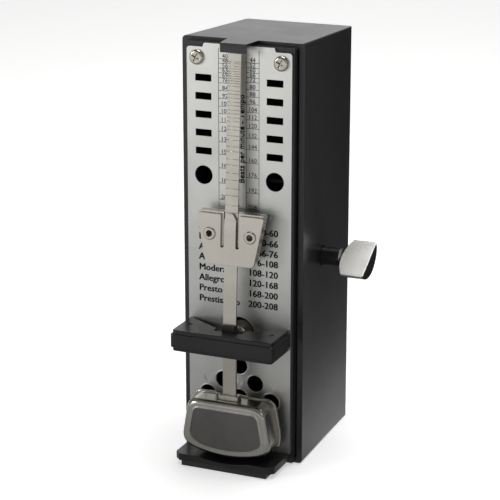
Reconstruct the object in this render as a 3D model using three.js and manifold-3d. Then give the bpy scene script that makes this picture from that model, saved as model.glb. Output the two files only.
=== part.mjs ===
// Pocket mechanical metronome: a black case with a clockwork movement, a scale plate on its
// front, an inverted pendulum with a sliding tempo weight, and a winding key on its right side.
// Millimetres, +Z up, the front faces -Y. The origin is the middle of the case's underside.
import * as THREE from 'three';
import { mergeVertices } from 'three/addons/utils/BufferGeometryUtils.js';
import Module from 'manifold-3d';

const wasm = await Module();
wasm.setup();

// ---- Case, chassis and plate ----
const caseWidth = 39;
const caseDepth = 44;
const caseHeight = 130;
const caseWall = 1.8;
const caseDraft = 1.8; // each side, the roof and nothing else lean in by this towards the back
const caseEdgeRadius = 1.2;
const rimGap = 0.5; // chassis to the inside of the case
const chassisProud = 2.2; // how far the chassis stands out of the case
const chassisDepth = 4.2;
const chassisFlangeLength = 8;
const chassisFlangeWall = 1.5;
const chassisLipDrop = 1.5; // the front lip covers this much of the case's floor and roof
const plateThickness = 0.8;
const plateBezel = 0.5;
const plateBottom = 3.4;
const plateTopDrop = 1.3;
const plateShoulderDrop = 1.2;
const plateShoulderX = 11.2;
const plateCorner = 1.1;
const plateFit = 0.1; // clearance round the plate and the screws through it

// ---- Openings in the plate ----
const slotCount = 5;
const slotInnerX = 8.8;
const slotOuterX = 14;
const slotHeight = 2.1;
const slotPitch = 5.51;
const firstSlotDrop = 11.6; // from the case's top to the first slot's middle
const roundHole = { x: 11.45, z: 89, radius: 2.88 };
const lowerHole = { radius: 2.6, pitchX: 5.2, pitchZ: 5.15, topZ: 30.1, rows: 3 };
const hubHoleRadius = 4.85;
const dimple = { x: 10.8, radius: 0.9, depth: 0.25, zs: [24.8, 77.9] };
const windowMargin = 1.3; // chassis windows are this much larger than what they lie behind

// ---- Bridge, foot and pendulum catch ----
const bridgeReach = 14; // plate face to the bridge's front face
const bridgeBarDepth = 5;
const bridgeBottom = 37.2;
const bridgeHeight = 6.6;
const bridgeArm = 0.8; // each arm's width at the plate
const bridgeNotch = { half: 4.4, depth: 2.5 }; // the bar's back, cleared for the swinging pendulum
const bridgeCorner = 1.2;
const bridgeBand = { proud: 0.5, lip: 1.2 };
const bridgeTenon = { inset: 0.9, width: 1, height: 3, length: 3 };
const footReach = 12.6;
const footHeight = 3.8;
const footSideGap = 0.4; // in from the plate's edge
const footStep = { height: 1.6, in: 2.3, front: 0.2 }; // the narrower lower step
const footChamfer = 1.6;
const footTenon = { width: 20, height: 1, z: 1.8, length: 2 };
const tenonFit = 0.05; // clearance round the bridge's and the foot's tenons
const catchReach = 7.3; // in front of the case's rim
const catchHalfWidth = 4.1;
const catchSplay = 0.9;
const catchDrop = 2.8;
const catchRoof = 1;
const catchLip = 0.8;

// ---- Pendulum ----
const pivotZ = 41;
const rodStandoff = 7.2; // plate face to the pendulum's middle plane
const rodWidth = 4.2;
const rodThickness = 0.6;
const rodTilt = 3; // degrees, how far the parked rod leans back
const rodHingeRise = 2; // above the pivot
const rodTail = 2.4; // below the rod's own hinge
const tipBelowCatch = 0.3;
const forkDepth = 2.4;
const forkTopRise = 4.6;
const forkBottomDrop = 4.5;
const forkSlot = 1;
const forkWeb = 1;
const arborRadius = 1;
const arborRearY = 12.6;
const hubRadius = 2.4;
const hubThickness = 0.8;
const frontBushFlange = { radius: 3.3, thickness: 1 };
const hubNeckRadius = 1.6;
const armThickness = 0.8;
const bobReach = 37; // pivot to the counterweight's lowest point
const bobTopDrop = 19.3; // pivot to the counterweight's top
const bobTopHalfWidth = 12.4;
const bobBottomHalfWidth = 14.6;
const bobDepth = 7;
const bobBackplate = 1;
const bobFlange = 0.9;
const bobCorner = 3;
const bobFaceRim = 1.6;
const bobFaceDepth = 0.35;
const bobSweepClearance = 1.1;
const bobWaist = { bite: 1.6, rise: 1.4, tuck: 1.5, drop: 6 }; // how its lower corners turn in
const armSeat = 6; // the arm ends this far above the counterweight's lowest point

// ---- Tempo weight ----
const weightTopZ = 80.2; // at its lowest setting
const weightHeight = 16.1;
const weightTopHalfWidth = 10.75;
const weightBottomHalfWidth = 7.75;
const weightFaceDrop = 0.9; // the face plate's top edge below the block's
const weightCorner = 1.5;
const weightFace = 0.8;
const weightBack = 2; // block behind the rod
const weightInset = 0.3;
const weightGap = 0.25; // rod to the weight around it
const tongueWidth = 3.8;
const tongueSlot = 1.1;
const tongueLength = 10.9;
const eyeletX = 6.5;
const eyeletDrop = 7;
const eyeletRadius = 1.4;
const eyeletBore = 1;
const eyeletHead = { radius: 1.95, height: 0.4 };

// ---- Winding key and movement ----
const keyY = -4;
const keyZ = 61.8;
const keyStemRadius = 2.8;
const keyHoleGap = 0.35;
const keyGripStart = 5.3; // beyond the case's side
const keyGripLength = 9.2;
const keyGripSwell = 2; // the grip's inner end bulges towards the case
const keyChord = 14.7;
const keySagitta = 4.7;
const keyCap = { below: 0.3, above: 0.5, gap: 0.05 };
const keyTurn = 31; // degrees, how the grip's flat leans
const movementHalfGap = 12; // between the movement plates
const movementPlate = 1.2;
const movementFront = 1.2; // thickness of the flanges on the chassis
const movementRearY = 16;
const movementBottom = 25;
const movementTop = 83;
const movementFlangeWidth = 5.2;
const movementFlangeHeight = 7;
const movementScrewZ = [31, 78];
const movementScrewX = 9.6;
const pillar = { radius: 1.8, pivotRadius: 1.1, frontY: -14, rearY: 12, zs: [29, 79] };
const runningFit = 0.08;
const windingArbor = { radius: 1.6, pivotRadius: 1.1 };
const barrel = {
  teeth: 48, module: 0.5, wheelX: -3.2, wheelWidth: 1.6, drumRadius: 10.6, drumWidth: 8.6, wall: 0.8,
};
const secondPinion = { teeth: 10, width: 3 };
const secondWheel = { teeth: 40, module: 0.4, x: -10.6, width: 1 };
const escapePinion = { teeth: 10, width: 2.6 };
const trainArborRadius = 0.8;
const crown = { teeth: 15, radius: 6.2, rim: 0.8, web: 0.6, wall: 1.3, tooth: 1.1, tipX: -2.2 };
const palletReach = 1.85;
const palletCollar = { outer: 1.45, half: 0.8, blade: 0.25 };
const palletLift = 35; // degrees, each pallet off the wheel's plane
const ratchet = { teeth: 24, radius: 5.6, depth: 0.8, width: 1.2, standoff: 0.5 };
const click = { pivotRadius: 9, pivotAngle: -62, boss: 1.5, width: 1, gap: 0.3 };
const plateScrew = { x: 13.4, drop: 5.6, headRadius: 2.28, headHeight: 1, shankRadius: 0.9, length: 5 };
const smallScrew = { headRadius: 1.6, headHeight: 0.9, shankRadius: 0.75, length: 3.4 };

// ---- Places worked out from the sizes above ----
const rimY = -caseDepth / 2;
const chassisFrontY = rimY - chassisProud;
const chassisBackY = chassisFrontY + chassisDepth;
const plateFrontY = chassisFrontY - plateThickness;
const plateTop = caseHeight - plateTopDrop;
const chassisHalfWidth = caseWidth / 2 - caseWall - rimGap;
const plateHalfWidth = chassisHalfWidth - plateBezel;
const pendulumY = plateFrontY - rodStandoff;
const rodHingeZ = pivotZ + rodHingeRise;
const rodTipZ = caseHeight - catchDrop - tipBelowCatch;
const rodLength = (rodTipZ - rodHingeZ) / Math.cos(THREE.MathUtils.degToRad(rodTilt));
const bridgeTop = bridgeBottom + bridgeHeight;
const bridgeFrontY = plateFrontY - bridgeReach;
const movementFrontY = chassisBackY;
const movementX = movementHalfGap + movementPlate;

// ---- Materials ----
const material = (color, roughness, metalness) =>
  new THREE.MeshStandardMaterial({ color, roughness, metalness });
const blackCase = material(0x1b1b1d, 0.42, 0);
const blackMoulding = material(0x161617, 0.35, 0);
const satinAluminium = material(0xb4b4b2, 0.38, 1);
const nickel = material(0xbcb6a6, 0.28, 1);
const springSteel = material(0x8f8b80, 0.32, 1);
const satinChrome = material(0xa7a49d, 0.26, 1);
const brushedCap = material(0xc9c7c1, 0.34, 1);
const brass = material(0xb89a52, 0.32, 1);
const steel = material(0x8c9096, 0.35, 1);
const blueSteel = material(0x38404e, 0.3, 1);

// ---- Shape helpers ----
const axisX = new THREE.Vector3(1, 0, 0);
const axisY = new THREE.Vector3(0, 1, 0);
const axisZ = new THREE.Vector3(0, 0, 1);
const curveSegments = 10;
const roundSegments = 28;
const halfTurn = Math.PI;
const fullTurn = 2 * Math.PI;

function toManifold(geometry) {
  const bare = new THREE.BufferGeometry();
  bare.setAttribute('position', geometry.getAttribute('position').clone());
  if (geometry.index) bare.setIndex(geometry.index.clone());
  const merged = mergeVertices(bare, 1e-4);
  const vertProperties = new Float32Array(merged.getAttribute('position').array);
  const triVerts = new Uint32Array(merged.index.array);
  return new wasm.Manifold(new wasm.Mesh({ numProp: 3, vertProperties, triVerts }));
}

function toGeometry(solid) {
  const mesh = solid.getMesh();
  const geometry = new THREE.BufferGeometry();
  geometry.setAttribute('position', new THREE.BufferAttribute(new Float32Array(mesh.vertProperties), 3));
  geometry.setIndex(new THREE.BufferAttribute(new Uint32Array(mesh.triVerts), 1));
  geometry.computeVertexNormals();
  return geometry;
}

const cut = (base, ...tools) =>
  toGeometry(tools.reduce((solid, tool) => solid.subtract(toManifold(tool)), toManifold(base)));
const join = (base, ...others) =>
  toGeometry(others.reduce((solid, other) => solid.add(toManifold(other)), toManifold(base)));
const common = (base, ...others) =>
  toGeometry(others.reduce((solid, other) => solid.intersect(toManifold(other)), toManifold(base)));

function extrude(shape, depth, segments = curveSegments) {
  return new THREE.ExtrudeGeometry(shape, { depth, bevelEnabled: false, curveSegments: segments });
}

// A shape drawn in X and Z, filling y0 to y1.
function extrudeY(shape, y0, y1, segments) {
  const turn = new THREE.Matrix4().makeBasis(axisX, axisZ, axisY.clone().negate());
  return extrude(shape, y1 - y0, segments).applyMatrix4(turn).translate(0, y1, 0);
}

// A shape drawn in Y and Z, filling x0 to x1.
function extrudeX(shape, x0, x1, segments) {
  const turn = new THREE.Matrix4().makeBasis(axisY, axisZ, axisX);
  return extrude(shape, x1 - x0, segments).applyMatrix4(turn).translate(x0, 0, 0);
}

// A shape drawn in X and Y, filling z0 to z1.
function extrudeZ(shape, z0, z1, segments) {
  return extrude(shape, z1 - z0, segments).translate(0, 0, z0);
}

// A block between two corners.
function block(x0, x1, y0, y1, z0, z1) {
  const geometry = new THREE.BoxGeometry(x1 - x0, y1 - y0, z1 - z0);
  return geometry.translate((x0 + x1) / 2, (y0 + y1) / 2, (z0 + z1) / 2);
}

function cylinderX(radius, x0, x1, y = 0, z = 0, segments = roundSegments) {
  const geometry = new THREE.CylinderGeometry(radius, radius, x1 - x0, segments);
  return geometry.rotateZ(-halfTurn / 2).translate((x0 + x1) / 2, y, z);
}

function cylinderY(radius, y0, y1, x = 0, z = 0, segments = roundSegments) {
  const geometry = new THREE.CylinderGeometry(radius, radius, y1 - y0, segments);
  return geometry.translate(x, (y0 + y1) / 2, z);
}

// A turned piece whose profile is a list of [radius, station] along its axis, from axis to axis.
function turnedY(profile, segments = roundSegments) {
  return new THREE.LatheGeometry(profile.map(([r, y]) => new THREE.Vector2(r, y)), segments);
}

function turnedX(profile, segments = roundSegments) {
  return turnedY(profile, segments).rotateZ(-halfTurn / 2);
}

function rectangle(x0, x1, y0, y1) {
  const shape = new THREE.Shape();
  shape.moveTo(x0, y0).lineTo(x1, y0).lineTo(x1, y1).lineTo(x0, y1).closePath();
  return shape;
}

function polygon(points) {
  return new THREE.Shape(points.map(([x, y]) => new THREE.Vector2(x, y)));
}

function disc(radius, x = 0, y = 0) {
  return new THREE.Shape().absarc(x, y, radius, 0, fullTurn, false);
}

// A closed outline whose corners are rounded by their own radii.
function roundedOutline(corners) {
  const shape = new THREE.Shape();
  corners.forEach(([x, y, radius], i) => {
    const here = new THREE.Vector2(x, y);
    const before = new THREE.Vector2(...corners[(i + corners.length - 1) % corners.length]);
    const after = new THREE.Vector2(...corners[(i + 1) % corners.length]);
    const start = before.sub(here).setLength(radius).add(here);
    const end = after.sub(here).setLength(radius).add(here);
    if (i === 0) shape.moveTo(start.x, start.y);
    else shape.lineTo(start.x, start.y);
    if (radius > 0) shape.quadraticCurveTo(x, y, end.x, end.y);
  });
  return shape.closePath();
}

function part(group, name, geometry, look, position = [0, 0, 0]) {
  const mesh = new THREE.Mesh(geometry, look);
  mesh.name = name;
  mesh.position.set(...position);
  group.add(mesh);
}

// ---- Case ----
// The tapering block of the case, drawn in by `inset` and running from `front` to the back wall.
function caseBlock(inset, front) {
  const half = caseWidth / 2 - inset;
  const lean = caseDraft / caseDepth;
  const back = caseDepth / 2 - inset;
  const frontHalf = half + lean * (rimY - front);
  const backHalf = half - lean * (back - rimY);
  const corner = Math.max(caseEdgeRadius - inset, 0.3);
  const plan = roundedOutline([
    [-frontHalf, front, 0], [frontHalf, front, 0], [backHalf, back, corner], [-backHalf, back, corner],
  ]);
  const top = caseHeight - inset;
  const side = polygon([
    [front, inset], [back, inset], [back, top - lean * (back - rimY)], [front, top + lean * (rimY - front)],
  ]);
  return common(extrudeZ(plan, 0, caseHeight * 2), extrudeX(side, -caseWidth, caseWidth));
}

function pendulumCatch() {
  const front = rimY - catchReach;
  const roof = polygon([
    [-catchHalfWidth - catchSplay, rimY + 1], [-catchHalfWidth, front],
    [catchHalfWidth, front], [catchHalfWidth + catchSplay, rimY + 1],
  ]);
  return join(
    extrudeZ(roof, caseHeight - catchRoof, caseHeight),
    block(-catchHalfWidth, catchHalfWidth, front, front + catchLip, caseHeight - catchDrop, caseHeight),
  );
}

function caseSleeve() {
  const keyHole = cylinderX(keyStemRadius + keyHoleGap, 0, caseWidth, keyY, keyZ);
  const shell = cut(caseBlock(0, rimY), caseBlock(caseWall, rimY - 1), keyHole);
  return join(shell, pendulumCatch());
}

// ---- Chassis and plate ----
function slotHeights() {
  const first = caseHeight - firstSlotDrop;
  return Array.from({ length: slotCount }, (_, i) => first - i * slotPitch);
}

// The triangle of round holes under the bridge: 1, 2 and 3 holes in a row.
function lowerHoles() {
  const holes = [];
  for (let row = 0; row < lowerHole.rows; row += 1) {
    for (let i = 0; i <= row; i += 1) {
      holes.push([(2 * i - row) * lowerHole.pitchX, lowerHole.topZ - row * lowerHole.pitchZ]);
    }
  }
  return holes;
}

function sideWindow(side) {
  const heights = slotHeights();
  const low = roundHole.z - roundHole.radius - windowMargin;
  const high = heights[0] + slotHeight / 2 + windowMargin;
  const inner = slotInnerX - windowMargin;
  const outer = slotOuterX + windowMargin - 0.3;
  return side < 0 ? rectangle(-outer, -inner, low, high) : rectangle(inner, outer, low, high);
}

function lowerWindow() {
  const reach = lowerHole.radius + windowMargin;
  const wide = (lowerHole.rows - 1) * lowerHole.pitchX + reach;
  const low = lowerHole.topZ - (lowerHole.rows - 1) * lowerHole.pitchZ;
  return polygon([
    [-wide, low - reach], [wide, low - reach], [wide, low + reach / 2],
    [reach / 2 + 1, lowerHole.topZ + reach], [-reach / 2 - 1, lowerHole.topZ + reach], [-wide, low + reach / 2],
  ]);
}

function frontChassis() {
  const half = chassisHalfWidth;
  const inside = caseWall + 0.3;
  const roof = caseHeight - caseWall - 0.3;
  const wall = block(-half, half, chassisFrontY, chassisBackY, inside, roof);
  const lip = block(-half, half, chassisFrontY, rimY, inside - chassisLipDrop, caseHeight - catchRoof - 0.1);
  const flangeBack = chassisBackY + chassisFlangeLength;
  const flanges = [-1, 1].map((side) => {
    const x0 = side < 0 ? -half : half - chassisFlangeWall;
    return block(x0, x0 + chassisFlangeWall, rimY, flangeBack, inside + 4, roof - 4);
  });
  const through = [sideWindow(-1), sideWindow(1), lowerWindow()];
  const cuts = through.map((shape) => extrudeY(shape, chassisFrontY - 1, chassisBackY + 1));
  cuts.push(cylinderY(hubHoleRadius, chassisFrontY - 1, rimY + 0.3, 0, pivotZ));
  cuts.push(cylinderY(arborRadius + 1, rimY, chassisBackY + 1, 0, pivotZ));
  cuts.push(...screwHoles());
  cuts.push(...bridgeTenons(chassisFrontY - 1, plateFrontY + bridgeTenon.length + 2 * tenonFit, tenonFit));
  cuts.push(footTongue(tenonFit));
  return cut(join(wall, lip, ...flanges), ...cuts);
}

function screwHoles() {
  const z = caseHeight - plateScrew.drop;
  const end = plateFrontY + plateScrew.length + plateFit;
  const holes = [-1, 1].map((side) =>
    cylinderY(plateScrew.shankRadius, chassisFrontY - 1, end, side * plateScrew.x, z, 16));
  for (const side of [-1, 1]) {
    for (const screwZ of movementScrewZ) {
      const depth = smallScrew.length - movementFront + plateFit;
      const x = side * movementScrewX;
      holes.push(cylinderY(smallScrew.shankRadius, chassisBackY - depth, chassisBackY + 1, x, screwZ, 16));
    }
  }
  return holes;
}

// The bridge's two tenons, each grown by `slack` for the slots that take them.
function bridgeTenons(y0, y1, slack) {
  const halfWidth = bridgeTenon.width / 2 + slack;
  const halfHeight = bridgeTenon.height / 2 + slack;
  const z = bridgeBottom + bridgeHeight / 2;
  return [-1, 1].map((side) => {
    const x = side * (plateHalfWidth - bridgeTenon.inset);
    return block(x - halfWidth, x + halfWidth, y0, y1, z - halfHeight, z + halfHeight);
  });
}

// The foot's tenon, grown by `slack` for the slot that takes it.
function footTongue(slack) {
  const { width, height, z, length } = footTenon;
  const half = width / 2 + slack;
  const end = chassisFrontY + length + 2 * slack;
  return block(-half, half, chassisFrontY - 1, end, z - slack, z + height + slack);
}

function scalePlate() {
  const shoulder = plateTop - plateShoulderDrop;
  const outline = roundedOutline([
    [-plateHalfWidth, plateBottom, plateCorner], [plateHalfWidth, plateBottom, plateCorner],
    [plateHalfWidth, shoulder, plateCorner], [plateShoulderX + 0.4, shoulder, 0],
    [plateShoulderX, plateTop, 0.3], [-plateShoulderX, plateTop, 0.3],
    [-plateShoulderX - 0.4, shoulder, 0], [-plateHalfWidth, shoulder, plateCorner],
  ]);
  return cut(extrudeY(outline, plateFrontY, chassisFrontY, 7), ...platePunches());
}

// Everything that is punched through or pressed into the plate.
function platePunches() {
  const front = plateFrontY - 1;
  const back = chassisFrontY + 1;
  const punches = bridgeTenons(front, back, tenonFit);
  for (const side of [-1, 1]) {
    const low = Math.min(side * slotInnerX, side * slotOuterX);
    const high = low + slotOuterX - slotInnerX;
    for (const z of slotHeights()) {
      punches.push(block(low, high, front, back, z - slotHeight / 2, z + slotHeight / 2));
    }
    punches.push(cylinderY(roundHole.radius, front, back, side * roundHole.x, roundHole.z));
    const screwZ = caseHeight - plateScrew.drop;
    punches.push(cylinderY(plateScrew.shankRadius + 0.1, front, back, side * plateScrew.x, screwZ, 16));
    for (const z of dimple.zs) {
      punches.push(cylinderY(dimple.radius, front, plateFrontY + dimple.depth, side * dimple.x, z, 12));
    }
  }
  for (const [x, z] of lowerHoles()) punches.push(cylinderY(lowerHole.radius, front, back, x, z, 24));
  punches.push(cylinderY(hubHoleRadius, front, back, 0, pivotZ));
  return punches;
}

// A pan-head screw with a cross recess. Its head's seat is at 0 and its shank points to +Y.
function panScrew({ headRadius, headHeight, shankRadius, length }) {
  const crown = headHeight * 0.55;
  const body = turnedY([
    [0, -headHeight], [headRadius * 0.6, -headHeight], [headRadius, -crown], [headRadius, 0],
    [shankRadius - 0.02, 0], [shankRadius - 0.02, length - 0.5], [shankRadius * 0.4, length], [0, length],
  ], 20);
  const slot = headRadius * 0.55;
  const thin = headRadius * 0.12;
  const deep = -headHeight * 0.4;
  return cut(body,
    block(-slot, slot, -headHeight - 1, deep, -thin, thin),
    block(-thin, thin, -headHeight - 1, deep, -slot, slot));
}

// ---- Bridge and foot ----
function pendulumBridge() {
  const { proud, lip } = bridgeBand;
  const ring = bridgeRing(proud);
  const band = bridgeRing(0);
  const low = bridgeBottom + lip;
  const high = bridgeTop - lip;
  const tenons = bridgeTenons(plateFrontY - 1, plateFrontY + bridgeTenon.length, 0);
  return join(extrudeZ(ring, bridgeBottom, bridgeTop), extrudeZ(band, low, high), ...tenons);
}

// The bridge in plan: a bar whose webs run back to the plate's edges, its outer sides drawn in
// by `inset`.
function bridgeRing(inset) {
  const half = plateHalfWidth - inset;
  const front = bridgeFrontY + inset;
  const barBack = bridgeFrontY + bridgeBarDepth;
  const notch = bridgeNotch.half;
  const webStart = barBack + bridgeNotch.depth;
  const inner = plateHalfWidth - bridgeArm;
  return roundedOutline([
    [-half, front, bridgeCorner], [half, front, bridgeCorner], [half, plateFrontY, 0],
    [inner, plateFrontY, 0], [notch, webStart, 0.5], [notch, barBack, 0.5],
    [-notch, barBack, 0.5], [-notch, webStart, 0.5], [-inner, plateFrontY, 0], [-half, plateFrontY, 0],
  ]);
}

function baseFoot() {
  const half = plateHalfWidth - footSideGap;
  const front = plateFrontY - footReach;
  const back = chassisFrontY;
  const upper = polygon([
    [-half, back], [-half, front + footChamfer], [-half + footChamfer, front],
    [half - footChamfer, front], [half, front + footChamfer], [half, back],
  ]);
  const lowHalf = half - footStep.in;
  const lowFront = front + footStep.front;
  const lower = rectangle(-lowHalf, lowHalf, lowFront, back);
  const shelf = extrudeZ(upper, footStep.height, footHeight);
  const slab = join(shelf, extrudeZ(lower, 0, footStep.height), footTongue(0));
  const sweep = cylinderY(bobReach + bobSweepClearance, front - 1, plateFrontY - 1, 0, pivotZ, 72);
  const seatHalf = plateHalfWidth + 1;
  const seatFront = plateFrontY - plateFit;
  const seat = block(-seatHalf, seatHalf, seatFront, back + 3, plateBottom - 2 * plateFit, footHeight + 1);
  return cut(slab, sweep, seat);
}

// ---- Pendulum ----
// The fork holds the rod in its upper slot and the counterweight's arm in its lower one.
function pendulumFork() {
  const front = pendulumY - forkDepth / 2;
  const back = pendulumY + forkDepth / 2;
  const half = rodWidth / 2;
  const body = block(-half, half, front, back, pivotZ - forkBottomDrop, pivotZ + forkTopRise);
  const upperFloor = rodHingeZ - rodTail - 0.2;
  const slot = forkSlot / 2;
  const upper = block(-half - 1, half + 1, pendulumY - slot, pendulumY + slot, upperFloor, pivotZ + 20);
  const lowerRoof = upperFloor - forkWeb;
  const fit = armThickness / 2 + 0.02;
  const lower = block(-half - 1, half + 1, pendulumY - fit, pendulumY + fit, pivotZ - 20, lowerRoof);
  const bore = cylinderY(arborRadius + 0.02, pendulumY + slot, back + 1, 0, pivotZ, 20);
  return cut(body, upper, lower, bore);
}

function armTopZ() {
  return rodHingeZ - rodTail - 0.2 - forkWeb - 0.05;
}

function counterweightArm() {
  const half = armThickness / 2;
  const low = pivotZ - bobReach + armSeat;
  return block(-rodWidth / 2, rodWidth / 2, pendulumY - half, pendulumY + half, low, armTopZ());
}

function pendulumHub() {
  const back = plateFrontY - 0.4;
  const discFront = back - hubThickness;
  const neckFront = pendulumY + forkDepth / 2 + 0.02;
  const bore = arborRadius + 0.02;
  return turnedY([
    [bore, neckFront], [hubNeckRadius, neckFront], [hubNeckRadius, discFront],
    [hubRadius - 0.3, discFront], [hubRadius, discFront + 0.3], [hubRadius, back], [bore, back],
    [bore, neckFront],
  ]);
}

function pendulumArbor() {
  return cylinderY(arborRadius, pendulumY + forkSlot / 2 + 0.05, arborRearY, 0, 0, 20);
}

// A collar on the arbor with one flag that meets the crown wheel's teeth.
function pallet(lift) {
  const bore = arborRadius + 0.02;
  const { outer, half, blade } = palletCollar;
  const collar = turnedY([[bore, -half], [outer, -half], [outer, half], [bore, half], [bore, -half]], 20);
  const flag = block(-palletReach, -arborRadius - 0.2, -half, half, -blade, blade).rotateY(lift);
  return join(collar, flag);
}

// The counterweight's outline in X and Z: a wide trapezoid on a round base struck from the pivot.
function bobOutline(grow) {
  const topZ = pivotZ - bobTopDrop + grow / 2;
  const topHalf = bobTopHalfWidth + grow;
  const lowHalf = bobBottomHalfWidth + grow;
  const reach = bobReach + (grow < 0 ? grow : -grow / 3);
  const { bite, rise, tuck, drop } = bobWaist;
  const lowZ = pivotZ - Math.sqrt((reach - bite) ** 2 - lowHalf ** 2);
  const waistZ = lowZ + rise;
  const trapezoid = roundedOutline([
    [-lowHalf + tuck, lowZ - drop, 0.5], [lowHalf - tuck, lowZ - drop, 0.5], [lowHalf, waistZ, bobCorner],
    [topHalf, topZ, bobCorner], [-topHalf, topZ, bobCorner], [-lowHalf, waistZ, bobCorner],
  ]);
  return { trapezoid, reach };
}

function bobSlab(grow, y0, y1) {
  const { trapezoid, reach } = bobOutline(grow);
  return common(extrudeY(trapezoid, y0, y1, 6), cylinderY(reach, y0 - 1, y1 + 1, 0, pivotZ, 96));
}

function armSlot(clear) {
  const half = armThickness / 2 + clear;
  const low = pivotZ - bobReach + armSeat - clear;
  return block(-rodWidth / 2 - clear, rodWidth / 2 + clear, pendulumY - half, pendulumY + half, low, pivotZ);
}

function counterweight() {
  const front = pendulumY - bobDepth / 2 - 0.4;
  const body = bobSlab(0, front, front + bobDepth);
  const face = bobSlab(-bobFaceRim, front - 1, front + bobFaceDepth);
  return cut(body, face, armSlot(0.02));
}

function counterweightBackplate() {
  const front = pendulumY + bobDepth / 2 - 0.4;
  return bobSlab(bobFlange, front, front + bobBackplate);
}

// A folded strap that locks the arm to the counterweight's top.
function counterweightClip() {
  const top = pivotZ - bobTopDrop;
  const half = rodWidth / 2 + 1.1;
  const body = block(-half, half, pendulumY - 1.5, pendulumY + 1.5, top + 0.02, top + 1.6);
  return cut(body, armSlot(0.04));
}

// ---- Rod and tempo weight, in the leaning frame whose origin is the rod's own hinge ----
function pendulumRod() {
  return block(-rodWidth / 2, rodWidth / 2, -rodThickness / 2, rodThickness / 2, -rodTail, rodLength);
}

function weightTop() {
  return (weightTopZ - rodHingeZ) / Math.cos(THREE.MathUtils.degToRad(rodTilt));
}

function weightOutline(inset, drop) {
  const top = weightTop() - inset - drop;
  const bottom = weightTop() - weightHeight + inset;
  const wide = weightTopHalfWidth - inset;
  const narrow = weightBottomHalfWidth - inset;
  return roundedOutline([
    [-narrow, bottom, weightCorner], [narrow, bottom, weightCorner], [wide, top, 0.5], [-wide, top, 0.5],
  ]);
}

function eyeletHoles(y0, y1) {
  const z = weightTop() - eyeletDrop;
  return [-1, 1].map((side) => cylinderY(eyeletRadius + 0.1, y0, y1, side * eyeletX, z, 20));
}

function weightFaceBack() {
  return -rodThickness / 2 - weightGap;
}

function weightFacePlate() {
  const back = weightFaceBack();
  const sheet = extrudeY(weightOutline(0, weightFaceDrop), back - weightFace, back);
  const centre = (tongueWidth + tongueSlot) / 2;
  const slots = [-1, 1].map((side) => {
    const x = side * centre;
    const low = weightTop() - tongueLength;
    return block(x - tongueSlot / 2, x + tongueSlot / 2, back - 2, back + 1, low, weightTop() + 1);
  });
  return cut(sheet, ...slots, ...eyeletHoles(back - 2, back + 1));
}

function weightBlock() {
  const front = weightFaceBack() + 0.1;
  const channelBack = rodThickness / 2 + weightGap;
  const back = channelBack + weightBack;
  const body = extrudeY(weightOutline(weightInset, 0), front, back);
  const half = rodWidth / 2 + weightGap;
  const channel = block(-half, half, front - 1, channelBack, 0, rodLength);
  return cut(body, channel, ...eyeletHoles(front - 1, back + 1));
}

function eyelet() {
  const front = weightFaceBack() - weightFace - 0.05;
  const back = rodThickness / 2 + weightGap + weightBack;
  return turnedY([
    [eyeletBore, front - eyeletHead.height], [eyeletHead.radius - 0.3, front - eyeletHead.height],
    [eyeletHead.radius, front - 0.1], [eyeletHead.radius, front],
    [eyeletRadius, front], [eyeletRadius, back], [eyeletBore, back], [eyeletBore, front - eyeletHead.height],
  ], 24);
}

// ---- Gears ----
// An involute gear outline, its first tooth centred on angle 0. The teeth are thinned for backlash.
function gearOutline(teeth, module) {
  const pressure = THREE.MathUtils.degToRad(25);
  const pitch = (teeth * module) / 2;
  const base = pitch * Math.cos(pressure);
  const tip = pitch + 0.85 * module;
  const root = pitch - 1.15 * module;
  const involute = (angle) => Math.tan(angle) - angle;
  const halfAtPitch = (halfTurn / teeth) / 2 - (0.09 * module) / pitch;
  const halfAt = (radius) => {
    const angle = radius > base ? Math.acos(base / radius) : 0;
    return halfAtPitch + involute(pressure) - involute(angle);
  };
  const flank = [root, Math.max(base, root + 0.02), pitch, tip];
  const shape = new THREE.Shape();
  for (let tooth = 0; tooth < teeth; tooth += 1) {
    const middle = (tooth * fullTurn) / teeth;
    const rise = flank.map((radius) => [radius, middle - halfAt(radius)]);
    const fall = [...flank].reverse().map((radius) => [radius, middle + halfAt(radius)]);
    for (const [radius, angle] of [...rise, ...fall]) {
      const x = radius * Math.cos(angle);
      const y = radius * Math.sin(angle);
      if (tooth === 0 && radius === root && angle < middle) shape.moveTo(x, y);
      else shape.lineTo(x, y);
    }
  }
  return shape.closePath();
}

function gear(teeth, module, bore, x0, x1, turn) {
  const outline = gearOutline(teeth, module);
  if (bore > 0) outline.holes.push(disc(bore));
  return extrudeX(outline, x0, x1).rotateX(turn);
}

const pitchRadius = (teeth, module) => (teeth * module) / 2;

// Where the second arbor stands: in mesh with the barrel above and the escape pinion below.
function trainPlaces() {
  const toBarrel = pitchRadius(barrel.teeth + secondPinion.teeth, barrel.module);
  const toEscape = pitchRadius(secondWheel.teeth + escapePinion.teeth, secondWheel.module);
  const key = new THREE.Vector2(keyY, keyZ);
  const escape = new THREE.Vector2(keyY, pivotZ);
  const span = key.distanceTo(escape);
  const along = (toBarrel ** 2 - toEscape ** 2 + span ** 2) / (2 * span);
  const aside = Math.sqrt(toBarrel ** 2 - along ** 2);
  const second = new THREE.Vector2(keyY + aside, keyZ - along);
  return { key, escape, second };
}

const places = trainPlaces();

// Direction from one arbor to another, as an angle in the Y-Z plane.
function bearing(from, to) {
  return Math.atan2(to.y - from.y, to.x - from.x);
}

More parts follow.
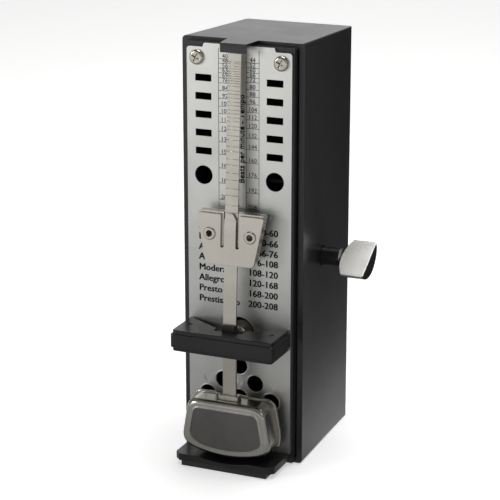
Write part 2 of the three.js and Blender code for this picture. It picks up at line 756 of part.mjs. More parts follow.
// ---- Movement ----
function movementSide(side) {
  const x0 = side < 0 ? -movementX : movementHalfGap;
  const outline = roundedOutline([
    [movementFrontY, movementBottom, 0], [movementRearY, movementBottom, 3],
    [movementRearY, movementTop, 3], [movementFrontY, movementTop, 0],
  ]);
  const inner = side * (movementHalfGap - movementFlangeWidth);
  const outer = side * (movementHalfGap + 0.1);
  const lugs = movementScrewZ.map((z) => block(
    Math.min(inner, outer), Math.max(inner, outer), movementFrontY, movementFrontY + movementFront,
    z - movementFlangeHeight / 2, z + movementFlangeHeight / 2));
  const far = side * 30;
  const bore = (radius, place) => cylinderX(radius, Math.min(0, far), Math.max(0, far), place.x, place.y, 20);
  const holes = pillarPlaces().map(([y, z]) => bore(pillar.pivotRadius + 0.02, new THREE.Vector2(y, z)));
  const keyBore = side > 0 ? windingArbor.radius : windingArbor.pivotRadius;
  holes.push(bore(keyBore + runningFit, places.key));
  holes.push(bore(trainArborRadius + runningFit, places.second));
  if (side < 0) holes.push(bore(trainArborRadius + runningFit, places.escape));
  if (side > 0) holes.push(bore(smallScrew.shankRadius, clickPivot()));
  const shank = smallScrew.shankRadius + 0.1;
  const behind = movementFrontY + movementFront + 1;
  const screws = movementScrewZ.map((z) =>
    cylinderY(shank, movementFrontY - 1, behind, side * movementScrewX, z, 16));
  return cut(join(extrudeX(outline, x0, x0 + movementPlate), ...lugs), ...holes, ...screws);
}

function pillarPlaces() {
  return pillar.zs.flatMap((z) => [[pillar.frontY, z], [pillar.rearY, z]]);
}

function pillarBody() {
  const end = movementX;
  const pin = pillar.pivotRadius;
  return turnedX([
    [0, -end], [pin, -end], [pin, -movementHalfGap], [pillar.radius, -movementHalfGap],
    [pillar.radius, movementHalfGap], [pin, movementHalfGap], [pin, end], [0, end],
  ], 20);
}

// A strap between the movement plates that carries the arbor's rear bush.
function rearStrap() {
  const y0 = arborRearY - 1.6;
  const strap = block(-movementHalfGap, movementHalfGap, y0, y0 + 1.2, pivotZ - 3, pivotZ + 3);
  return cut(strap, cylinderY(arborRadius + 0.75, y0 - 1, y0 + 3, 0, pivotZ, 20));
}

function rearBush() {
  const bore = arborRadius + runningFit;
  const outer = arborRadius + 0.73;
  const y0 = arborRearY - 1.6;
  return turnedY([[bore, y0], [outer, y0], [outer, y0 + 1.2], [bore, y0 + 1.2], [bore, y0]], 20);
}

// A flanged bush whose bright flange shows inside the plate's hub hole.
function frontBush() {
  const { radius, thickness } = frontBushFlange;
  const bore = arborRadius + runningFit;
  const outer = arborRadius + 0.98;
  const seat = rimY + 0.3;
  return turnedY([
    [bore, seat - thickness], [radius - 0.2, seat - thickness], [radius, seat - thickness + 0.2],
    [radius, seat], [outer, seat], [outer, chassisBackY], [bore, chassisBackY], [bore, seat - thickness],
  ]);
}

// An L-shaped bracket off the left plate that steadies the escape arbor behind the crown wheel.
function potence() {
  const x0 = -movementHalfGap;
  const y0 = places.escape.x;
  const z0 = pivotZ;
  const reach = x0 + 5.4;
  const post = block(x0, reach, y0 - 2.5, y0 + 2.5, z0 - 8.2, z0 - 6.4);
  const cheek = block(reach - 1, reach, y0 - 2.5, y0 + 2.5, z0 - 8.2, z0 + 2);
  return cut(join(post, cheek), cylinderX(trainArborRadius + runningFit, x0 + 1, reach + 1, y0, z0, 20));
}

// ---- Winding train ----
function ratchetX() {
  return movementX + ratchet.standoff;
}

function windingArborShaft() {
  const { radius, pivotRadius } = windingArbor;
  const end = caseWidth / 2 + keyGripStart - 1;
  return turnedX([
    [0, -movementX - 0.4], [pivotRadius, -movementX - 0.4], [pivotRadius, -movementHalfGap + 0.1],
    [radius, -movementHalfGap + 0.1], [radius, end], [0, end],
  ], 20);
}

// The drum with the great wheel's teeth round its closed end.
function springBarrel() {
  const { wheelX, wheelWidth, drumRadius, drumWidth, wall, teeth, module } = barrel;
  const bore = windingArbor.radius + runningFit;
  const turn = bearing(places.key, places.second);
  const wheel = gear(teeth, module, bore, wheelX, wheelX + wheelWidth, turn);
  const mouth = wheelX + drumWidth;
  const inner = drumRadius - wall;
  const drum = turnedX([
    [inner, wheelX + 0.5], [drumRadius, wheelX + 0.5], [drumRadius, mouth],
    [inner, mouth], [inner, wheelX + 0.5],
  ], 48);
  return join(wheel, drum);
}

function barrelCover() {
  const { wheelX, drumWidth, drumRadius, wall } = barrel;
  const mouth = wheelX + drumWidth;
  const bore = windingArbor.radius + runningFit;
  const outer = drumRadius - wall - 0.03;
  const seat = mouth - wall;
  return turnedX([[bore, seat], [outer, seat], [outer, mouth], [bore, mouth], [bore, seat]], 48);
}

// A flat spiral strip, wound from the arbor out to the drum's wall.
function mainspring() {
  const { wheelX, wheelWidth, drumWidth, drumRadius, wall } = barrel;
  const inner = windingArbor.radius + 0.6;
  const outer = drumRadius - wall - 0.6;
  const turns = 6;
  const steps = turns * 20;
  const strip = 0.32;
  const at = (i, offset) => {
    const radius = inner + ((outer - inner) * i) / steps + offset;
    const angle = (i / steps) * turns * fullTurn;
    return [radius * Math.cos(angle), radius * Math.sin(angle)];
  };
  const stations = Array.from({ length: steps + 1 }, (_, i) => i);
  const outside = stations.map((i) => at(i, strip));
  const inside = stations.map((i) => at(i, 0)).reverse();
  const gap = 0.4;
  return extrudeX(polygon([...outside, ...inside]), wheelX + wheelWidth + gap, wheelX + drumWidth - 0.8 - gap);
}

function ratchetWheel() {
  const { teeth, radius, depth, width } = ratchet;
  const points = [];
  for (let i = 0; i < teeth; i += 1) {
    const angle = (i * fullTurn) / teeth;
    points.push([radius * Math.cos(angle), radius * Math.sin(angle)]);
    const root = radius - depth;
    points.push([root * Math.cos(angle + 0.02), root * Math.sin(angle + 0.02)]);
  }
  const outline = polygon(points);
  outline.holes.push(disc(windingArbor.radius + 0.02));
  return extrudeX(outline, ratchetX(), ratchetX() + width);
}

// Where the click's screw stands on the right movement plate.
function clickPivot() {
  const angle = THREE.MathUtils.degToRad(click.pivotAngle);
  return new THREE.Vector2(Math.cos(angle), Math.sin(angle)).multiplyScalar(click.pivotRadius).add(places.key);
}

// The click's nose rests in a tooth space, with a little play. Drawn about its own screw.
function clickPawl() {
  const { teeth, radius, depth } = ratchet;
  const pitch = fullTurn / teeth;
  const pivot = clickPivot().sub(places.key);
  const tooth = Math.floor(pivot.angle() / pitch - 3) * pitch;
  const polar = (r, angle) => new THREE.Vector2(r * Math.cos(angle), r * Math.sin(angle));
  const nose = polar(radius - depth + 0.3, tooth + 0.07);
  const heel = polar(radius + 1.5, tooth + 0.1);
  const belly = polar(radius + click.gap, tooth + 0.3);
  const relative = [nose, belly, heel].map((point) => point.clone().sub(pivot));
  const along = relative[2].clone().setLength(click.boss * 0.9);
  const across = new THREE.Vector2(-along.y, along.x);
  const outline = [relative[0], relative[1], across.clone().negate(), across, relative[2]];
  const signed = THREE.ShapeUtils.area(outline);
  const blade = new THREE.Shape(signed < 0 ? outline.reverse() : outline);
  const x0 = ratchetX();
  const x1 = x0 + click.width;
  const body = join(extrudeX(blade, x0, x1), cylinderX(click.boss, x0, x1, 0, 0, 20));
  return cut(body, cylinderX(smallScrew.shankRadius + runningFit, x0 - 1, x0 + 3, 0, 0, 16));
}

// The shouldered screw that the click turns on, its head outside the click.
function clickScrew() {
  const seat = ratchetX() + click.width + 0.1;
  const shank = smallScrew.shankRadius - 0.02;
  const start = movementHalfGap + 0.1;
  const { headRadius, headHeight } = smallScrew;
  const top = seat + headHeight;
  return turnedX([
    [0, start], [shank, start], [shank, seat], [headRadius, seat],
    [headRadius, seat + headHeight * 0.67], [headRadius * 0.7, top], [0, top],
  ], 20);
}

// A bent wire standing on the plate, whose free end leans on the click's back.
function clickSpring() {
  const pivot = clickPivot();
  const x = ratchetX() + 0.5;
  const foot = new THREE.Vector3(movementX, pivot.x + 3, pivot.y - 3.2);
  const bend = new THREE.Vector3(x, foot.y, foot.z);
  const tip = new THREE.Vector3(x, pivot.x - 3.2, pivot.y - 0.95);
  const wire = 0.25;
  const post = cylinderX(wire, foot.x, x + wire, foot.y, foot.z, 8);
  const arm = extrude(disc(wire), 1, 3);
  const length = bend.distanceTo(tip);
  arm.scale(1, 1, length);
  const turn = new THREE.Quaternion().setFromUnitVectors(axisZ, tip.clone().sub(bend).normalize());
  arm.applyQuaternion(turn).translate(bend.x, bend.y, bend.z);
  return join(post, arm);
}

// ---- Second and escape arbors ----
function trainShaft(x0, x1) {
  return cylinderX(trainArborRadius, x0, x1, 0, 0, 16);
}

function secondPinionGear() {
  const middle = barrel.wheelX + barrel.wheelWidth / 2;
  const half = secondPinion.width / 2;
  const towardsBarrel = bearing(places.second, places.key);
  const turn = towardsBarrel + halfTurn / secondPinion.teeth;
  const bore = trainArborRadius + 0.02;
  return gear(secondPinion.teeth, barrel.module, bore, middle - half, middle + half, turn);
}

function secondWheelGear() {
  const { teeth, module, x, width } = secondWheel;
  return gear(teeth, module, trainArborRadius + 0.02, x, x + width, bearing(places.second, places.escape));
}

function escapePinionGear() {
  const middle = secondWheel.x + secondWheel.width / 2;
  const half = Math.min(escapePinion.width / 2, middle + movementHalfGap - 0.1);
  const towardsSecond = bearing(places.escape, places.second);
  const turn = towardsSecond + halfTurn / escapePinion.teeth;
  const bore = trainArborRadius + 0.02;
  return gear(escapePinion.teeth, secondWheel.module, bore, middle - half, middle + half, turn);
}

// A cup whose rim is cut into pointed teeth facing the pendulum's arbor.
function crownWheel() {
  const { teeth, radius, rim, web, wall, tooth, tipX } = crown;
  const backX = tipX - tooth - wall - web;
  const bore = trainArborRadius + 0.02;
  const cup = turnedX([
    [bore, backX], [radius, backX], [radius, tipX], [radius - rim, tipX],
    [radius - rim, backX + web], [bore, backX + web], [bore, backX],
  ], 60);
  const gaps = Array.from({ length: teeth }, (_, i) => {
    const half = (radius * halfTurn) / teeth - 0.25;
    const gap = polygon([
      [-half, tipX + 1], [0.5 - half, tipX - tooth], [half - 0.9, tipX - tooth], [half, tipX], [half, tipX + 1],
    ]);
    return gapBlock(gap, radius).rotateX((i * fullTurn) / teeth);
  });
  return cut(cup, ...gaps);
}

// One tooth space, drawn across the rim and extruded outwards through it.
function gapBlock(outline, radius) {
  const turn = new THREE.Matrix4().makeBasis(axisY, axisX, axisZ.clone().negate());
  return extrude(outline, radius).applyMatrix4(turn).translate(0, 0, radius * 1.5);
}

// ---- Key ----
// Drawn with the grip's flat facing up and the stem along X, then leaned about the stem.
const gripStart = caseWidth / 2 + keyGripStart;
const gripEnd = gripStart + keyGripLength;
const stemStart = ratchetX() + ratchet.width + 0.15;

// The grip across its axis: a circular segment whose flat is keyChord wide.
function gripSection() {
  const half = keyChord / 2;
  const radius = (half ** 2 + keySagitta ** 2) / (2 * keySagitta);
  const reach = Math.asin(half / radius);
  const middle = radius - keySagitta;
  const shape = new THREE.Shape();
  shape.absarc(0, middle, radius, -halfTurn / 2 - reach, -halfTurn / 2 + reach, false);
  return shape.closePath();
}

// The grip seen on its flat: square at the outer end, swelling towards the case at the inner.
function gripPlan() {
  const half = keyChord / 2;
  const shape = new THREE.Shape();
  shape.moveTo(gripEnd, -half + 0.8).lineTo(gripEnd, half - 0.8);
  shape.quadraticCurveTo(gripEnd, half, gripEnd - 0.8, half);
  shape.lineTo(gripStart + keyGripSwell, half);
  shape.quadraticCurveTo(gripStart - keyGripSwell, 0, gripStart + keyGripSwell, -half);
  shape.lineTo(gripEnd - 0.8, -half);
  shape.quadraticCurveTo(gripEnd, -half, gripEnd, -half + 0.8);
  return shape.closePath();
}

function keyCore() {
  const roof = -keyCap.below - keyCap.gap;
  const grip = common(
    extrudeX(gripSection(), gripStart, gripEnd, 16),
    extrudeZ(gripPlan(), -keyChord, roof),
  );
  const stem = cylinderX(keyStemRadius, stemStart, gripStart + 1.2);
  const aboveFlat = block(gripStart - 0.05, gripEnd + 1, -keyChord, keyChord, roof, keyChord);
  const bore = cylinderX(windingArbor.radius + 0.03, stemStart - 1, gripStart - 0.9);
  return cut(join(grip, stem), aboveFlat, bore);
}

function keyGripCap() {
  return extrudeZ(gripPlan(), -keyCap.below, keyCap.above);
}

// ---- Assembly ----
function addHousing(root) {
  const screwZ = caseHeight - plateScrew.drop;
  part(root, 'case_sleeve', caseSleeve(), blackCase);
  part(root, 'front_chassis', frontChassis(), blackMoulding);
  part(root, 'scale_plate', scalePlate(), satinAluminium);
  part(root, 'plate_screw_left', panScrew(plateScrew), nickel, [-plateScrew.x, plateFrontY, screwZ]);
  part(root, 'plate_screw_right', panScrew(plateScrew), nickel, [plateScrew.x, plateFrontY, screwZ]);
  part(root, 'pendulum_bridge', pendulumBridge(), blackMoulding);
  part(root, 'base_foot', baseFoot(), blackMoulding);
}

function addMovementFrame(root) {
  part(root, 'movement_plate_left', movementSide(-1), brass);
  part(root, 'movement_plate_right', movementSide(1), brass);
  pillarPlaces().forEach(([y, z], i) => {
    part(root, `movement_pillar_${i + 1}`, pillarBody(), steel, [0, y, z]);
  });
  addMovementScrews(root);
  part(root, 'rear_strap', rearStrap(), brass);
  part(root, 'rear_bush', rearBush(), steel, [0, 0, pivotZ]);
  part(root, 'front_bush', frontBush(), nickel, [0, 0, pivotZ]);
  part(root, 'escape_potence', potence(), brass);
  const pivot = clickPivot();
  part(root, 'click_screw', clickScrew(), blueSteel, [0, pivot.x, pivot.y]);
  part(root, 'click_spring', clickSpring(), steel);
}

function addMovementScrews(root) {
  const seat = movementFrontY + movementFront;
  const screw = panScrew(smallScrew).rotateZ(halfTurn);
  movementScrewZ.forEach((z, row) => {
    [-1, 1].forEach((side) => {
      const name = `movement_screw_${row * 2 + (side > 0 ? 2 : 1)}`;
      part(root, name, screw, steel, [side * movementScrewX, seat, z]);
    });
  });
}

function addPendulum(root) {
  const pendulum = new THREE.Group();
  const palletOffset = crown.radius - crown.rim / 2;
  const lift = THREE.MathUtils.degToRad(palletLift);
  part(pendulum, 'pendulum_arbor', pendulumArbor(), steel, [0, 0, pivotZ]);
  part(pendulum, 'pendulum_hub', pendulumHub(), nickel, [0, 0, pivotZ]);
  part(pendulum, 'pendulum_fork', pendulumFork(), blackMoulding);
  part(pendulum, 'pallet_front', pallet(lift), steel, [0, keyY - palletOffset, pivotZ]);
  part(pendulum, 'pallet_rear', pallet(-lift), steel, [0, keyY + palletOffset, pivotZ]);
  part(pendulum, 'counterweight_arm', counterweightArm(), springSteel);
  part(pendulum, 'counterweight', counterweight(), satinChrome);
  part(pendulum, 'counterweight_backplate', counterweightBackplate(), satinChrome);
  part(pendulum, 'counterweight_clip', counterweightClip(), springSteel);
  root.add(pendulum);
}

function addRod(root) {
  const rod = new THREE.Group();
  rod.position.set(0, pendulumY, rodHingeZ);
  rod.rotation.x = -THREE.MathUtils.degToRad(rodTilt);
  const eyeletZ = weightTop() - eyeletDrop;
  part(rod, 'pendulum_rod', pendulumRod(), springSteel);
  part(rod, 'weight_face', weightFacePlate(), nickel);
  part(rod, 'weight_block', weightBlock(), nickel);
  part(rod, 'weight_eyelet_left', eyelet(), nickel, [-eyeletX, 0, eyeletZ]);
  part(rod, 'weight_eyelet_right', eyelet(), nickel, [eyeletX, 0, eyeletZ]);
  root.add(rod);
}

function addKey(root) {
  const { key } = places;
  part(root, 'winding_arbor', windingArborShaft(), steel, [0, key.x, key.y]);
  part(root, 'ratchet_wheel', ratchetWheel(), steel, [0, key.x, key.y]);
  const grip = new THREE.Group();
  grip.position.set(0, key.x, key.y);
  grip.rotation.x = THREE.MathUtils.degToRad(keyTurn);
  part(grip, 'key_core', keyCore(), blackMoulding);
  part(grip, 'key_cap', keyGripCap(), brushedCap);
  root.add(grip);
  const pivot = clickPivot();
  part(root, 'click_pawl', clickPawl(), steel, [0, pivot.x, pivot.y]);
}

function addTrain(root) {
  const { key, second, escape } = places;
  const toward = (place) => [0, place.x, place.y];
  part(root, 'spring_barrel', springBarrel(), brass, toward(key));
  part(root, 'barrel_cover', barrelCover(), brass, toward(key));
  part(root, 'mainspring', mainspring(), blueSteel, toward(key));
  part(root, 'second_arbor', trainShaft(-movementX, movementX), steel, toward(second));
  part(root, 'second_pinion', secondPinionGear(), steel, toward(second));
  part(root, 'second_wheel', secondWheelGear(), brass, toward(second));
  const escapeEnd = crown.tipX - crown.tooth - crown.wall + 0.4;
  part(root, 'escape_arbor', trainShaft(-movementX, escapeEnd), steel, toward(escape));
  part(root, 'escape_pinion', escapePinionGear(), steel, toward(escape));
  part(root, 'crown_wheel', crownWheel(), brass, toward(escape));
}

function metronome() {
  const root = new THREE.Group();
  root.name = 'metronome';
  addHousing(root);
  addMovementFrame(root);
  addPendulum(root);
  addRod(root);
  addKey(root);
  addTrain(root);
  return root;
}

export default metronome();
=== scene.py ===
import bpy
import math
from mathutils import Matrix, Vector


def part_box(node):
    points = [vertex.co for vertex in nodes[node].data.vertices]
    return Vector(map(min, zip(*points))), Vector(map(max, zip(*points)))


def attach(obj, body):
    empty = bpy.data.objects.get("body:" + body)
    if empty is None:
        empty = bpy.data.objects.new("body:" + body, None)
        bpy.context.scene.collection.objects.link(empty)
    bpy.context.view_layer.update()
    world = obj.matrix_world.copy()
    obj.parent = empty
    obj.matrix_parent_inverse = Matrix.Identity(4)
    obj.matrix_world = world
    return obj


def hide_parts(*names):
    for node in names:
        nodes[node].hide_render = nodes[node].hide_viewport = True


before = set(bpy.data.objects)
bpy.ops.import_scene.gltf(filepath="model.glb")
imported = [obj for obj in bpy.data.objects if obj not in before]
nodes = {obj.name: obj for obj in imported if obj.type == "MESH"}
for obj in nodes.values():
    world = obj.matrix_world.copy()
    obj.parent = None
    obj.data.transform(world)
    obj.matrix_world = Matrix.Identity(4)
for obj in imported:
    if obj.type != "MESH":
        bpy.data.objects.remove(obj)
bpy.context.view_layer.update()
mm = 0.001


# small helpers for selecting and finishing meshes
def deselectAll():
    if bpy.context.object and bpy.context.object.mode != "OBJECT":
        bpy.ops.object.mode_set(mode="OBJECT")
    bpy.ops.object.select_all(action="DESELECT")


def makeActive(obj):
    deselectAll()
    obj.select_set(True)
    bpy.context.view_layer.objects.active = obj
    return obj


def applyPlace(obj):
    makeActive(obj)
    bpy.ops.object.transform_apply(location=True, rotation=True, scale=True)
    return obj


def addBox(name, low, high):
    low, high = Vector(low) * mm, Vector(high) * mm
    deselectAll()
    bpy.ops.mesh.primitive_cube_add(size=1, location=(low + high) / 2, scale=high - low)
    obj = bpy.context.object
    obj.name = name
    return applyPlace(obj)


def addRod(name, radius, start, end, vertices=32):
    start, end = Vector(start) * mm, Vector(end) * mm
    axis = end - start
    turn = axis.to_track_quat("Z", "Y").to_euler()
    deselectAll()
    bpy.ops.mesh.primitive_cylinder_add(vertices=vertices, radius=radius * mm, depth=axis.length,
                                        location=(start + end) / 2, rotation=turn)
    obj = bpy.context.object
    obj.name = name
    return applyPlace(obj)


def roundedPath(corners, steps=8):
    path = []
    for i, (x, z, setback) in enumerate(corners):
        here = Vector((x, z))
        before, after = Vector(corners[i - 1][:2]), Vector(corners[(i + 1) % len(corners)][:2])
        start = here + (before - here).normalized() * setback
        end = here + (after - here).normalized() * setback
        if setback == 0:
            path.append(here)
            continue
        for step in range(steps + 1):
            t = step / steps
            path.append(start * (1 - t) ** 2 + here * 2 * t * (1 - t) + end * t ** 2)
    return path


def addSlab(name, outline, low, high, upright=True):
    curve = bpy.data.curves.new(name, "CURVE")
    curve.dimensions = "2D"
    curve.fill_mode = "BOTH"
    curve.extrude = (high - low) / 2 * mm
    spline = curve.splines.new("POLY")
    spline.points.add(len(outline) - 1)
    for point, (x, z) in zip(spline.points, outline):
        point.co = (x * mm, z * mm, 0, 1)
    spline.use_cyclic_u = True
    slab = bpy.data.objects.new(name, curve)
    bpy.context.scene.collection.objects.link(slab)
    makeActive(slab)
    bpy.ops.object.convert(target="MESH")
    slab = bpy.context.object
    middle = (low + high) / 2 * mm
    slab.rotation_euler = (math.pi / 2, 0, 0) if upright else (0, 0, 0)
    slab.location = (0, middle, 0) if upright else (0, 0, middle)
    applyPlace(slab)
    bpy.ops.object.mode_set(mode="EDIT")
    bpy.ops.mesh.select_all(action="SELECT")
    bpy.ops.mesh.remove_doubles(threshold=1e-6)
    bpy.ops.mesh.normals_make_consistent(inside=False)
    bpy.ops.mesh.dissolve_limited(angle_limit=math.radians(0.1))
    bpy.ops.object.mode_set(mode="OBJECT")
    return slab


def runModifier(obj, kind, **values):
    makeActive(obj)
    mod = obj.modifiers.new(kind.title(), kind)
    for key, value in values.items():
        setattr(mod, key, value)
    bpy.ops.object.modifier_apply(modifier=mod.name)
    return obj


def softEdges(obj, width, segments=3, angle=30):
    return runModifier(obj, "BEVEL", width=width * mm, segments=segments, limit_method="ANGLE",
                       angle_limit=math.radians(angle), harden_normals=False, use_clamp_overlap=True)


def carve(obj, *tools):
    for tool in tools:
        runModifier(obj, "BOOLEAN", operation="DIFFERENCE", object=tool, solver="EXACT")
        bpy.data.objects.remove(tool)
    return obj


def fuse(obj, *others):
    for other in others:
        runModifier(obj, "BOOLEAN", operation="UNION", object=other, solver="EXACT")
        bpy.data.objects.remove(other)
    return obj


def joinAll(name, parts):
    deselectAll()
    for piece in parts:
        piece.select_set(True)
    bpy.context.view_layer.objects.active = parts[0]
    if len(parts) > 1:
        bpy.ops.object.join()
    parts[0].name = name
    return parts[0]


def smoothByAngle(obj, angle=32):
    makeActive(obj)
    bpy.ops.object.shade_smooth_by_angle(angle=math.radians(angle))
    return obj


def bevelEdges(obj, wanted, offset, segments):
    makeActive(obj)
    bpy.context.tool_settings.mesh_select_mode = (False, True, False)
    for polygon in obj.data.polygons:
        polygon.select = False
    for edge in obj.data.edges:
        a, b = (obj.data.vertices[i].co for i in edge.vertices)
        edge.select = wanted(a, b)
    bpy.ops.object.mode_set(mode="EDIT")
    bpy.ops.mesh.bevel(offset=offset * mm, segments=segments, affect="EDGES")
    bpy.ops.object.mode_set(mode="OBJECT")


def copyNode(node, name):
    obj = bpy.data.objects.new(name, nodes[node].data.copy())
    bpy.context.scene.collection.objects.link(obj)
    obj.data.materials.clear()
    makeActive(obj)
    bpy.ops.object.mode_set(mode="EDIT")
    bpy.ops.mesh.select_all(action="SELECT")
    bpy.ops.mesh.remove_doubles(threshold=2e-6)
    bpy.ops.mesh.dissolve_limited(angle_limit=math.radians(0.5))
    bpy.ops.object.mode_set(mode="OBJECT")
    return obj


def settle(obj, body, slot, material, *replaced, smooth=50, weighted=True):
    if material:
        obj.data.materials.clear()
        obj.data.materials.append(material)
    smoothByAngle(obj, smooth)
    if weighted:
        runModifier(obj, "WEIGHTED_NORMAL", mode="FACE_AREA", weight=100, keep_sharp=True)
    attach(obj, body)
    if replaced:
        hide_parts(*replaced)
    return obj


# finishes
def newFinish(name, colour, roughness, metallic=0.0):
    material = bpy.data.materials.new(name)
    material.use_nodes = True
    tree = material.node_tree
    shader = tree.nodes["Principled BSDF"]
    shader.inputs["Base Color"].default_value = (*colour, 1)
    shader.inputs["Roughness"].default_value = roughness
    shader.inputs["Metallic"].default_value = metallic
    coords = tree.nodes.new("ShaderNodeTexCoord")
    return material, tree, shader, coords.outputs["Object"]


def grain(tree, coords, scale, detail=3.0, stretch=(1, 1, 1), roughness=0.55):
    place = tree.nodes.new("ShaderNodeMapping")
    place.inputs["Scale"].default_value = stretch
    tree.links.new(coords, place.inputs["Vector"])
    noise = tree.nodes.new("ShaderNodeTexNoise")
    noise.inputs["Scale"].default_value = scale
    noise.inputs["Detail"].default_value = detail
    noise.inputs["Roughness"].default_value = roughness
    tree.links.new(place.outputs["Vector"], noise.inputs["Vector"])
    return noise.outputs["Fac"]


def spread(tree, value, low, high, fromLow=0.3, fromHigh=0.7):
    remap = tree.nodes.new("ShaderNodeMapRange")
    remap.inputs["From Min"].default_value = fromLow
    remap.inputs["From Max"].default_value = fromHigh
    remap.inputs["To Min"].default_value = low
    remap.inputs["To Max"].default_value = high
    tree.links.new(value, remap.inputs["Value"])
    return remap.outputs["Result"]


def tint(tree, value, dark, light):
    mix = tree.nodes.new("ShaderNodeMix")
    mix.data_type = "RGBA"
    mix.inputs["A"].default_value = (*dark, 1)
    mix.inputs["B"].default_value = (*light, 1)
    tree.links.new(value, mix.inputs["Factor"])
    return mix.outputs["Result"]


def addBump(tree, shader, height, strength, distance):
    bump = tree.nodes.new("ShaderNodeBump")
    bump.inputs["Strength"].default_value = strength
    bump.inputs["Distance"].default_value = distance
    tree.links.new(height, bump.inputs["Height"])
    tree.links.new(bump.outputs["Normal"], shader.inputs["Normal"])


finish = {
    "case": {"dark": (0.0045, 0.0045, 0.005), "light": (0.0065, 0.0065, 0.007), "rough": (0.26, 0.36),
             "texture": 2600, "gloss": 0.42},
    "moulding": {"dark": (0.0045, 0.0045, 0.0048), "light": (0.0075, 0.0073, 0.0071), "rough": (0.26, 0.36),
                 "texture": 1500, "gloss": 0.42},
    "plate": {"dark": (0.56, 0.56, 0.54), "light": (0.65, 0.65, 0.63), "rough": (0.36, 0.46),
              "texture": 5200},
    "nickel": {"dark": (0.47, 0.445, 0.40), "light": (0.53, 0.505, 0.455), "rough": (0.26, 0.32),
               "texture": 2400},
    "bright": {"dark": (0.36, 0.335, 0.29), "light": (0.50, 0.47, 0.41), "rough": (0.14, 0.22),
               "texture": 2200},
    "rod": {"dark": (0.42, 0.40, 0.355), "light": (0.52, 0.50, 0.45), "rough": (0.26, 0.36), "texture": 900},
    "counterweight": {"dark": (0.40, 0.385, 0.355), "light": (0.52, 0.50, 0.46), "rough": (0.17, 0.27),
                      "texture": 3600},
    "bobFace": {"dark": (0.13, 0.127, 0.12), "light": (0.18, 0.175, 0.165), "rough": (0.28, 0.38),
                "texture": 3600},
    "key": {"dark": (0.42, 0.41, 0.39), "light": (0.58, 0.57, 0.55), "rough": (0.22, 0.38), "texture": 900},
    "brass": {"dark": (0.46, 0.32, 0.11), "light": (0.62, 0.45, 0.18), "rough": (0.26, 0.38),
              "texture": 2500},
    "steel": {"dark": (0.30, 0.31, 0.33), "light": (0.46, 0.47, 0.49), "rough": (0.26, 0.38),
              "texture": 2500},
    "ink": {"dark": (0.006, 0.006, 0.006), "light": (0.014, 0.014, 0.014), "rough": (0.45, 0.6),
            "texture": 3000},
}


cloudScale = 70  # broad drift of tone over every finish
wornEdge = (0.52, 0.60)  # how sharp an edge is before it looks rubbed


# painted shade: multiplies the colour darker towards the bottom of the piece
def shadeUpwards(tree, coords, base, low, high, amount):
    split = tree.nodes.new("ShaderNodeSeparateXYZ")
    tree.links.new(coords, split.inputs[0])
    level = spread(tree, split.outputs["Z"], amount, 1, low * mm, high * mm)
    mix = tree.nodes.new("ShaderNodeMix")
    mix.data_type = "RGBA"
    mix.blend_type = "MULTIPLY"
    mix.inputs["Factor"].default_value = 1
    tree.links.new(base, mix.inputs["A"])
    tree.links.new(level, mix.inputs["B"])
    return mix.outputs["Result"]


def makeFinish(name, metallic, bump, distance, stretch=(1, 1, 1), wear=None, paintedShade=None):
    look = finish[name]
    material, tree, shader, coords = newFinish(name + "Finish", look["light"], look["rough"][0], metallic)
    fine = grain(tree, coords, look["texture"], 4, stretch)
    cloudy = grain(tree, coords, cloudScale, 3)
    base = tint(tree, spread(tree, cloudy, 0, 1), look["dark"], look["light"])
    if wear:  # rubbed edges show a little lighter
        geometry = tree.nodes.new("ShaderNodeNewGeometry")
        edge = spread(tree, geometry.outputs["Pointiness"], 0, 1, *wornEdge)
        mix = tree.nodes.new("ShaderNodeMix")
        mix.data_type = "RGBA"
        tree.links.new(edge, mix.inputs["Factor"])
        tree.links.new(base, mix.inputs["A"])
        mix.inputs["B"].default_value = (*wear, 1)
        base = mix.outputs["Result"]
    if paintedShade:  # painted shade: the sheet's colour is darkened low down, standing in for the shade and dimmer reflections there
        base = shadeUpwards(tree, coords, base, *paintedShade)
    tree.links.new(base, shader.inputs["Base Color"])
    shader.inputs["Specular IOR Level"].default_value = look.get("gloss", 0.5)
    blend = tree.nodes.new("ShaderNodeMath")
    blend.operation = "MULTIPLY_ADD"
    blend.inputs[1].default_value = 0.5
    tree.links.new(fine, blend.inputs[0])
    half = tree.nodes.new("ShaderNodeMath")
    half.operation = "MULTIPLY"
    half.inputs[1].default_value = 0.5
    tree.links.new(cloudy, half.inputs[0])
    tree.links.new(half.outputs[0], blend.inputs[2])
    tree.links.new(spread(tree, blend.outputs[0], *look["rough"]), shader.inputs["Roughness"])
    addBump(tree, shader, fine, bump, distance)
    return material


caseFinish = makeFinish("case", 0, 0.22, 0.00008, wear=(0.02, 0.02, 0.022))
mouldingFinish = makeFinish("moulding", 0, 0.10, 0.00005, wear=(0.02, 0.02, 0.021))
# painted shade: the plate's colour darkens from its top down to its lower part
plateFinish = makeFinish("plate", 1, 0.16, 0.00004, paintedShade=(15, 115, 0.85))
nickelFinish = makeFinish("nickel", 1, 0.05, 0.00001)
brightFinish = makeFinish("bright", 1, 0.08, 0.00003)
rodFinish = makeFinish("rod", 1, 0.25, 0.00003, stretch=(8, 1, 1))
counterweightFinish = makeFinish("counterweight", 1, 0.10, 0.00003)
bobFaceFinish = makeFinish("bobFace", 1, 0.14, 0.00004)
keyFinish = makeFinish("key", 1, 0.35, 0.00004, stretch=(0.15, 5, 5))
brassFinish = makeFinish("brass", 1, 0.1, 0.00003)
steelFinish = makeFinish("steel", 1, 0.1, 0.00003)
inkFinish = makeFinish("ink", 0, 0.05, 0.00001)
print("finishes made")

